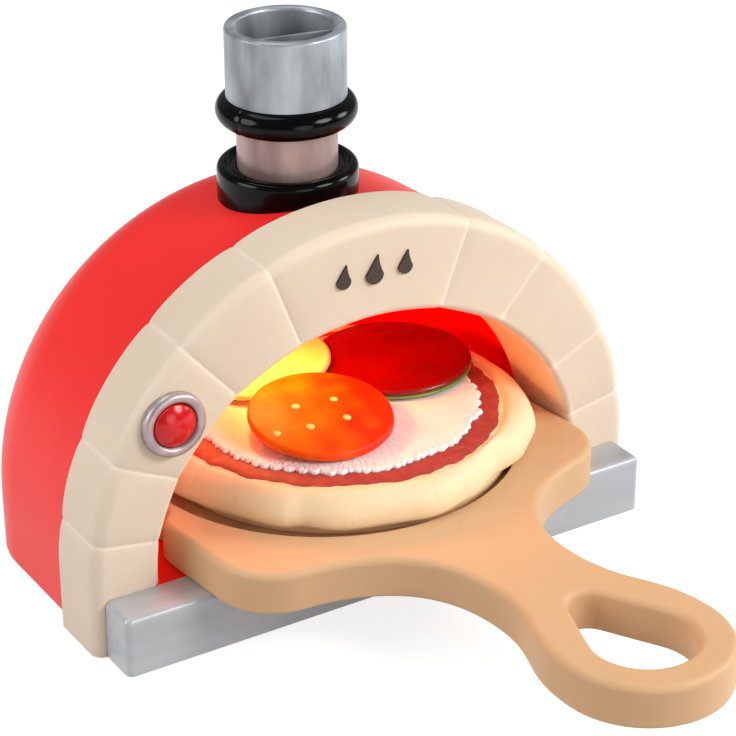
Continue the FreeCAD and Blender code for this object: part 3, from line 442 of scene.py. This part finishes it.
def collar():
    outer, foot_z, inner = 30.6, 126.0, 24.3
    profile = [(22.0, 161.0), (22.0, 166.9), (22.6, 167.5), (23.9, 167.6), (24.6, 167.1), (25.2, 166.9),
               (25.8, 167.2), (26.5, 168.1)]
    profile += arc(27.6, 166.0, 3.0, 100, 0, 10)
    profile += [(outer, 160.0), (outer, foot_z), (inner, foot_z), (inner, 161.0)]
    points, faces = lathe(profile, (0, 0, 0), "z")
    scribed = []
    for x, y, z in points:
        if z < COLLAR_SKIRT_Z:
            # The foot follows the shell, whose crown falls to the back and then rounds over
            over = math.sqrt(CROWN_ROUND ** 2 - max(0, y - CROWN_ROUND_Y) ** 2)
            crown = SPRING_Z - CROWN_FALL * (y - ARCH_BACK_Y) - CROWN_ROUND + over
            z = max(z, crown + math.sqrt(SHELL_R ** 2 - x * x) + 0.02)
        scribed.append((x, y, z))
    return scribed, faces


def ring():
    middle, thick, level, bore, steps, sides = 24.3, 6.2, 193.1, 21.9, 192, 40
    cap_r, cap_foot_z, seam_turn = 26.05, 199.15, math.radians(197)
    points = []
    for step in range(steps):
        turn = 2 * math.pi * step / steps
        # A parting line of the two-part mould, seen on the left
        seam = 0.35 * math.exp(-(middle * (turn - seam_turn) / 0.7) ** 2)
        for side in range(sides):
            round_turn = 2 * math.pi * side / sides
            radius = middle + (thick - seam) * math.cos(round_turn)
            z = level + (thick - seam) * math.sin(round_turn)
            if radius < cap_r:
                z = min(z, cap_foot_z)
            points.append((max(radius, bore) * math.cos(turn), max(radius, bore) * math.sin(turn), z))
    return points, grid_faces(steps, sides, True, True)


black = moulded("black_gloss", colour(2, 2, 2), colour(4, 4, 4), 0.13, spread=0.06, drift=60, grain=1500,
                depth=0.008, shine=0.15)
piece("collar", *collar(), black, "oven", "black_gloss", "chimney_collar")
piece("ring", *ring(), black, "chimney", "black_gloss", "chimney_ring")
cap_silver = silver("silver_cap", colour(194, 202, 208), colour(116, 120, 126), (1, 1, 0.3), 55, 0.45)
# Painted reflection: the pipe's silver is painted pinkish, standing in for the red shell it reflects
pipe_silver_red_reflection = silver("silver_pipe_red_reflection", colour(196, 170, 165), colour(132, 106, 104), (1, 1, 0.3), 55, 0.5)
dress(pipe_silver_red_reflection, "chimney_pipe")
dress(cap_silver, "chimney_cap")


# Peel: a thick board of tan satin plastic with a dished blade and a finger loop, moulded in one piece. It
# lies loose on the bar and the oven's floor. A gate mark is left by its neck.
PEEL_TOP = 45.5
GATE_FOOT = PEEL_TOP - 0.2
tan = moulded("tan_board", colour(214, 174, 133), colour(209, 167, 125), 0.45, drift=10, grain=2000, depth=0.03,
              bleed=0.06, shine=0.25)
dress(tan, "peel_board")
gate_profile = [(0, 45.62), (1.1, 45.6), (1.6, 45.52), (2.2, PEEL_TOP), (2.9, 45.53), (3.4, 45.6),
                (3.8, 45.52), (4.0, GATE_FOOT), (0, GATE_FOOT)]
piece("gate_mark", *lathe(gate_profile, (12.7, -122.2, 0), "z", 48), tan, "peel", "tan_board")


# Pizza dough: a disc of matt soft plastic with a puffy hand-shaped rim and a few creases. It is moulded
# in one piece, and its foot lies loose in the peel's dish.
PIZZA_X, PIZZA_Y = 6.0, -26.0
draw = random.Random(7)
CREASES = [(draw.uniform(-180, 180), draw.uniform(0.25, 0.7), draw.uniform(0.06, 0.16), draw.uniform(0.2, 0.5))
           for _ in range(34)]
CREASE_WIDTH = 0.9


def around(turn, scale, seed):
    """A smooth value from -1 to 1 that varies round a circle."""
    return noise.noise((math.cos(turn) * scale, math.sin(turn) * scale, seed))


def turn_gap(turn, bearing):
    """Angle in radians from a bearing in degrees, the short way round."""
    return (turn - math.radians(bearing) + math.pi) % (2 * math.pi) - math.pi


def smooth(share):
    share = min(1, max(0, share))
    return share * share * (3 - 2 * share)


def on_pizza(turn, section):
    """Places (radius, z) pairs at a turn about the middle of the pizza."""
    return [(PIZZA_X + radius * math.cos(turn), PIZZA_Y + radius * math.sin(turn), z) for radius, z in section]


def swell(turn):
    """How far the rim swells out: hand-pushed, so full on some stretches and flat at the front right."""
    places = ((-180, 1.2), (-174, 1.6), (-163, 0.0), (-149, -0.6), (-136, 1.2), (-130, -1.0), (-119, 1.6),
              (-106, -0.1), (-92, 1.4), (-79, -1.4), (-63, -4.6), (-47, 0.4), (-32, 3.0), (-14, 2.6),
              (10, 1.2), (60, 0.0), (120, 0.4), (180, 1.2))
    bearing = (math.degrees(turn) + 180) % 360 - 180
    for (start, low), (end, high) in zip(places, places[1:]):
        if start <= bearing <= end:
            between = smooth((bearing - start) / (end - start))
            return low + (high - low) * between + 0.3 * around(turn, 9.0, 9.4)


def crust():
    foot = [(0, 40.1), (40, 40.1), (70, 40.1), (77.6, 40.1), (78.3, 40.7), (78.5, 42.0), (78.5, 45.6)]
    rim = [(80.2, 45.65), (82.0, 45.75), (83.6, 46.1), (84.8, 46.8), (85.6, 47.8), (86.1, 49.2),
           (86.3, 50.8), (86.2, 52.5), (85.8, 54.2), (85.1, 56.0), (84.0, 57.8), (82.6, 59.5), (81.0, 60.8),
           (79.4, 61.6), (77.9, 61.9), (76.7, 61.7), (75.9, 61.2), (75.3, 60.7)]
    bed = [(74.0, 60.45), (70, 60.45), (60, 60.45), (0, 60.45)]
    points, steps = [], 720
    for step in range(steps):
        turn = 2 * math.pi * step / steps
        out = swell(turn)
        lift = 0.5 * around(turn, 3.0, 5.7) + 0.3 * around(turn, 8.0, 1.2) - 0.5
        section = list(foot)
        for place, (radius, z) in enumerate(rim):
            along = place / (len(rim) - 1)
            puff = smooth(along / 0.1) * smooth((1 - along) / 0.45)
            crease = sum(depth * math.exp(-(radius * turn_gap(turn, bearing) / CREASE_WIDTH) ** 2
                                          - ((along - middle) / length) ** 2)
                         for bearing, middle, length, depth in CREASES)
            section.append((radius + out * puff - crease * (1 - along),
                            z + lift * smooth(along * 1.6 - 0.2) - crease * along))
        points += on_pizza(turn, section + bed)
    return points, grid_faces(steps, len(foot) + len(rim) + len(bed), closed_rows=True)


dough = moulded("dough", colour(244, 218, 178), colour(241, 210, 166), 0.55, drift=26, grain=900, depth=0.12,
                bleed=0.12)
piece("dough", *crust(), dough, "pizza", "dough", "pizza_crust")


# Tomato sauce: a thin layer of matt dark red plastic with a wavy edge. It is moulded as a disc of its own
# and glued into the bed of the dough.
def sauce():
    radius, top, under = 73.8, 61.4, 60.5
    points, steps = [], 360
    shares = (0, 0.3, 0.6, 0.8, 0.88, 0.92, 0.95, 0.975, 0.99, 1.0)
    for step in range(steps):
        turn = 2 * math.pi * step / steps
        edge = (radius + 2.0 * around(turn, 3.2, 4.4) + 1.3 * around(turn, 9.0, 2.2)
                + 0.7 * around(turn, 21.0, 6.1))
        for share in shares:
            (x, y, z), = on_pizza(turn, [(edge * share, top)])
            ripple = 0.3 * noise.noise((x / 2.6, y / 2.6, 0.5))
            points.append((x, y, z + ripple - 0.7 * max(0, (share - 0.95) / 0.05) ** 2))
        points += on_pizza(turn, [(edge, under), (0, under)])
    return points, grid_faces(steps, len(shares) + 2, closed_rows=True)


sauce_red = moulded("sauce", colour(166, 64, 56), colour(146, 48, 43), 0.5, drift=160, grain=900, depth=0.12)
piece("sauce", *sauce(), sauce_red, "pizza", "sauce", "pizza_sauce")


# Cheese: a layer of matt white plastic, moulded in lumps and shreds, whose round ends make a ragged fringe.
# It is glued on the sauce, and the loose slices lie on it.
def cheese():
    radius, top, under = 63.0, 62.5, 61.3
    insets = (0, 0.2, 0.5, 0.9, 1.4, 2.0, 2.7, 3.6, 4.7, 6, 7.5, 9.5, 12, 16, 22, 30, 40, 52)
    points, steps = [], 1400
    for step in range(steps):
        turn = 2 * math.pi * step / steps
        edge = radius + 1.2 * around(turn, 4.0, 7.7) + 1.2 * around(turn, 12.0, 3.3)
        fringe = 3.4 * abs(around(turn, 14.0, 5.1)) ** 0.6 + 0.8 * abs(around(turn, 37.0, 1.7)) ** 0.5
        column = [(edge + fringe, under)]
        for inset in insets:
            reach = edge - inset + fringe * math.exp(-inset / 2.2)
            x, y = reach * math.cos(turn), reach * math.sin(turn)
            lump = abs(noise.noise((x / 2.6, y / 2.6, 8.8))) ** 0.6
            z = (top + lump * (0.35 + 0.65 * math.exp(-inset / 7))
                 + 0.15 * noise.noise((x / 9, y / 9, 2.8)))
            column.append((reach, max(z - max(0, 1 - inset / 0.6) ** 2, under + 0.1)))
        column += [(0, top + 0.3), (0, under)]
        points += on_pizza(turn, column)
    return points, grid_faces(steps, len(insets) + 3, closed_rows=True)


cheese_white = moulded("cheese", colour(245, 241, 240), colour(239, 230, 229), 0.5, drift=70, grain=620,
                       depth=0.2, bleed=0.25)
piece("cheese", *cheese(), cheese_white, "pizza", "cheese", "pizza_cheese")


# Toppings: three loose slices, each a domed disc of satin plastic. One is pepperoni with pale pips, one
# tomato with a green rind, one a slice of yellow pepper. The pepper leans on the tomato and the pepperoni on
# the pepper.
TOPPING_Z = 63.6
TOMATO, TOMATO_R = (46.1, -10.9), 36.0
PEPPER, PEPPER_R, PEPPER_TILT = (-9.0, 14.0), 33.0, 4.75
PEPPERONI, PEPPERONI_R, PEPPERONI_TILT = (-13.2, -46.7), 31.6, 7.5
PEPPERONI_EDGE, PEPPERONI_DOME = 4.0, 4.6


def slice_disc(place, radius, low, edge, dome, seed, marks=()):
    """A domed disc with a soft rim, an uneven outline, and thin raised marks on its top."""
    ball = (radius ** 2 + dome ** 2) / (2 * dome)
    rings = [radius * share for share in [step / 52 for step in range(50)]]
    points, steps, rim = [], 260, 1.2
    for step in range(steps):
        turn = 2 * math.pi * step / steps
        wander = 1 + 0.008 * around(turn, 1.6, seed) + 0.004 * around(turn, 5.0, seed + 3)
        section = [(r, edge + dome - ball + math.sqrt(ball ** 2 - r * r)) for r in rings]
        last_r, last_z = section[-1]
        section += [(last_r + (radius - last_r) * math.sin(t),
                     edge - rim + (last_z - edge + rim) * math.cos(t))
                    for t in [math.pi * k / 16 for k in range(1, 9)]]
        section += [(radius - 0.1, low + 1.0), (radius - 0.5, low + 0.3), (radius - 1.2, low), (0, low)]
        for r, z in section:
            px, py = wander * r * math.cos(turn), wander * r * math.sin(turn)
            if z > edge - 1:
                z += 0.2 * noise.noise((px / 9, py / 9, seed)) - 0.2
                for ax, ay, bx, by, bow in marks:
                    run, here = Vector((bx - ax, by - ay)), Vector((px - ax, py - ay))
                    share = here.dot(run) / run.length_squared
                    off = run.cross(here) / run.length - bow * 4 * share * (1 - share)
                    z += 0.2 * math.exp(-(off / 0.7) ** 2) * math.sin(math.pi * min(1, max(0, share)))
            points.append((place[0] + px, place[1] + py, z))
    return points, grid_faces(steps, len(section), closed_rows=True)


def leaned(place, radius, support, tilt, points, faces):
    """Stands a slice on the cheese by its far edge, and tilts it up on to the slice it leans on."""
    away = Vector((place[0] - support[0], place[1] - support[1], 0)).normalized()
    hinge = Vector((place[0], place[1], TOPPING_Z)) + radius * away
    turn = Quaternion((-away.y, away.x, 0), math.radians(tilt))
    return [hinge + turn @ (Vector(point) - hinge) for point in points], faces


def pips():
    points, faces = [], []
    ball = (PEPPERONI_R ** 2 + PEPPERONI_DOME ** 2) / (2 * PEPPERONI_DOME)
    for across, back in ((-0.33, 0.12), (0.21, 0.02), (0.16, -0.40), (-0.38, -0.35), (-0.81, -0.21)):
        x, y = PEPPERONI_R * across, PEPPERONI_R * back
        top = TOPPING_Z + PEPPERONI_EDGE + PEPPERONI_DOME - ball + math.sqrt(ball ** 2 - x * x - y * y)
        profile = [(0, top + 0.45), (0.7, top + 0.4), (1.3, top + 0.22), (1.7, top - 0.05), (1.9, top - 0.5),
                   (1.9, top - 1.6), (0, top - 1.6)]
        more_points, more_faces = lathe(profile, (PEPPERONI[0] + x, PEPPERONI[1] + y, 0), "z", 32)
        faces += [tuple(corner + len(points) for corner in face) for face in more_faces]
        points += more_points
    return points, faces


def lamp_glow_and_print_at(x, y, z):
    """How far the pepperoni's colour has gone from orange to red at a place: the orange towards the oven's lamp
    is painted lamp glow, and the mottled patches are print.
    """
    across, back = x - PEPPERONI[0], y - PEPPERONI[1]
    patch = 0.5 * noise.noise((x / 11, y / 11, 4.4))
    return min(1, max(0, 0.5 + (0.85 * across - 0.53 * back) / 46 + patch))


tomato_red = moulded("tomato_red", colour(128, 3, 3), colour(104, 1, 1), 0.24, drift=40, grain=1500, depth=0.02)
tomato_marks = ((-10.9, 12.4, -11.4, 5.0, 0.6), (-10.8, -4.6, -6.6, -16.1, -1.2),
                (-4.1, -13.3, 7.4, -14.5, 1.0))
disc = slice_disc(TOMATO, TOMATO_R, TOPPING_Z + 1.5, TOPPING_Z + 4.2, 2.6, 6.5, tomato_marks)
piece("tomato", *disc, tomato_red, "tomato", "tomato", "tomato_slice")
rind = [(0, 1.45), (34.7, 1.45), (35.5, 1.3), (35.9, 0.9), (35.95, 0.5), (35.6, 0.15), (34.9, 0), (0, 0)]
disc = lathe([(radius, TOPPING_Z + up) for radius, up in rind], (*TOMATO, 0), "z")
green = moulded("rind_green", colour(96, 140, 52), colour(140, 150, 70), 0.35, drift=60)
piece("rind", *disc, green, "tomato", "rind", "tomato_rind")

yellow = moulded("pepper_yellow", colour(255, 243, 166), colour(254, 236, 144), 0.42, drift=30, grain=1800,
                 depth=0.03, bleed=0.15)
disc = slice_disc(PEPPER, PEPPER_R, TOPPING_Z, TOPPING_Z + 3.4, 2.2, 4.2)
disc = leaned(PEPPER, PEPPER_R, TOMATO, PEPPER_TILT, *disc)
piece("yellow_pepper", *disc, yellow, "pepper", "pepper", "pepper_slice")

orange = moulded("pepperoni", colour(255, 122, 2), colour(250, 100, 2), 0.46, drift=80, grain=1800, depth=0.03,
                 bleed=0.15, shine=0.2)
# Painted lamp glow: orange on the side towards the oven's lamp and red away from it, with mottled print patches
fade(orange, "lamp_glow_and_print", colour(244, 42, 1))
disc = slice_disc(PEPPERONI, PEPPERONI_R, TOPPING_Z, TOPPING_Z + PEPPERONI_EDGE, PEPPERONI_DOME, 1.5)
disc = leaned(PEPPERONI, PEPPERONI_R, PEPPER, PEPPERONI_TILT, *disc)
pepperoni = piece("pepperoni", *disc, orange, "pepperoni", "pepperoni", "pepperoni_slice")
carry(pepperoni, "lamp_glow_and_print", lamp_glow_and_print_at)
pale = moulded("pip_yellow", colour(255, 222, 140), colour(248, 200, 110), 0.4)
dots = leaned(PEPPERONI, PEPPERONI_R, PEPPER, PEPPERONI_TILT, *pips())
piece("pips", *dots, pale, "pepperoni", "pips", "pepperoni_spots")


# Works: grey base plate and battery box, three plain cells, springs and screws, circuit boards and leads.
# They stand inside the shell on the base plate, and only the switch and the door's screw show, at the back.
grey = moulded("grey_plastic", colour(70, 71, 74), colour(60, 61, 64), 0.5, grain=2000, depth=0.05)
dress(grey, "base_plate", "battery_box", "chimney_guide", "power_switch", "speaker")
dress(black, "switch_slider")
steel = moulded("steel", colour(188, 188, 190), colour(160, 160, 164), 0.3, drift=300, grain=6000, metallic=1.0)
dress(steel, "base_screws", "arch_screws", "chimney_spring", "door_screw", "hinge_pin", "cell_contacts",
      "door_contacts")
circuit = moulded("board_green", colour(28, 104, 60), colour(22, 88, 50), 0.4, drift=200)
dress(circuit, "button_board", "light_board", "main_board")
dress(moulded("keypad_rubber", colour(150, 150, 150), colour(140, 140, 140), 0.7), "button_keypad")
dress(moulded("cell_sleeve", colour(60, 62, 66), colour(70, 72, 78), 0.25, drift=80, coat=0.3), "batteries")
dress(moulded("red_lead", colour(180, 30, 30), colour(165, 24, 26), 0.45), "wire_leads")


# Light: an amber lens of polished plastic, clipped into the oven's left wall over a warm lamp on a small
# board. It makes the glow on the food and on the right of the mouth.
GLOW_TINT = (1.0, 0.42, 0.10)
AMBER = colour(255, 190, 90)
amber = moulded("amber_lens", AMBER, colour(250, 170, 70), 0.2, spread=0.05, drift=80, coat=0.3)
amber.node_tree.nodes["Principled BSDF"].inputs["Emission Color"].default_value = AMBER
amber.node_tree.nodes["Principled BSDF"].inputs["Emission Strength"].default_value = 3.0
dress(amber, "light_lens", "light_led")
glow = bpy.data.objects.new("oven_glow", bpy.data.lights.new("oven_glow", "POINT"))
glow.data.color = GLOW_TINT
glow.data.energy = 0.07
glow.data.shadow_soft_size = 0.015
glow.location = (-0.038, 0.004, 0.096)
bpy.context.collection.objects.link(glow)


# Studio: white paper under the toy and a plain white room. A large soft key stands at the front right, with
# weaker soft boxes all round, and a small one inside throws the lamp's glow across the mouth.
def soft_box(name, place, target, size, energy, tint):
    lamp = bpy.data.objects.new(name, bpy.data.lights.new(name, "AREA"))
    lamp.data.shape = "DISK"
    lamp.data.size = size
    lamp.data.energy = energy
    lamp.data.color = tint
    lamp.location = place
    lamp.rotation_euler = (Vector(target) - Vector(place)).to_track_quat("-Z", "Y").to_euler()
    bpy.context.collection.objects.link(lamp)


soft_box("throw", (-0.03, -0.01, 0.113), (0.105, -0.05, 0.06), 0.02, 0.12, GLOW_TINT)
soft_box("key", (0.8, -1.15, 0.98), (0, -0.05, 0.08), 0.7, 17.0, (1.0, 0.98, 0.96))
soft_box("front", (-0.1, -1.5, 0.4), (0, -0.07, 0.06), 0.8, 4.0, (1.0, 0.98, 0.97))
soft_box("left", (-1.35, 0.25, 0.75), (0, -0.03, 0.1), 0.9, 12.0, (1.0, 0.98, 0.97))
soft_box("right", (1.3, -0.45, 0.6), (0, -0.05, 0.12), 0.5, 7.0, (0.97, 0.99, 1.0))
soft_box("top", (-0.2, 0.35, 1.5), (0, 0.0, 0.12), 0.8, 5.0, (0.98, 0.99, 1.0))

world = bpy.data.worlds.new("room")
bpy.context.scene.world = world
world.use_nodes = True
background = world.node_tree.nodes["Background"]
background.inputs["Color"].default_value = (1, 1, 1, 1)
background.inputs["Strength"].default_value = 0.24

PAPER_HALF, PAPER_Z, PAPER_WHITE = 4, -0.0004, 0.78
floor_mesh = bpy.data.meshes.new("floor")
corners = [(x * PAPER_HALF, y * PAPER_HALF, PAPER_Z) for x, y in ((-1, -1), (1, -1), (1, 1), (-1, 1))]
floor_mesh.from_pydata(corners, [], [(0, 1, 2, 3)])
floor = bpy.data.objects.new("floor", floor_mesh)
bpy.context.collection.objects.link(floor)
paper = moulded("paper", (0.42, 0.42, 0.42, 1), (0.40, 0.40, 0.40, 1), 0.9, grain=600, depth=0.02)
# The camera and polished parts see the paper nearly white, and it throws little light up at the toy
rays = paper.node_tree.nodes.new("ShaderNodeLightPath")
level = rays.outputs["Is Camera Ray"]
for ray in ("Is Glossy Ray", "Is Transmission Ray"):
    either = paper.node_tree.nodes.new("ShaderNodeMath")
    either.operation = "MAXIMUM"
    paper.node_tree.links.new(level, either.inputs[0])
    paper.node_tree.links.new(rays.outputs[ray], either.inputs[1])
    level = either.outputs[0]
white = paper.node_tree.nodes.new("ShaderNodeMath")
white.operation = "MULTIPLY"
white.inputs[1].default_value = PAPER_WHITE
paper.node_tree.links.new(level, white.inputs[0])
shader = paper.node_tree.nodes["Principled BSDF"]
shader.inputs["Emission Color"].default_value = (1, 1, 1, 1)
paper.node_tree.links.new(white.outputs[0], shader.inputs["Emission Strength"])
floor_mesh.materials.append(paper)

# Camera: above the toy and to the left of its mouth, with a long lens
camera = bpy.data.objects.new("camera", bpy.data.cameras.new("camera"))
camera.data.sensor_width = 36.0
camera.data.lens = 122.68
camera.data.shift_x = -0.0014
camera.location = (-0.5014, -0.8647, 0.5723)
heading = Vector((-0.00265, -0.0695, 0.09933)) - camera.location
camera.rotation_euler = heading.to_track_quat("-Z", "Y").to_euler()
camera.rotation_euler.rotate_axis("Z", math.radians(-0.13))
bpy.context.collection.objects.link(camera)
bpy.context.scene.camera = camera
bpy.context.scene.view_settings.view_transform = "Standard"
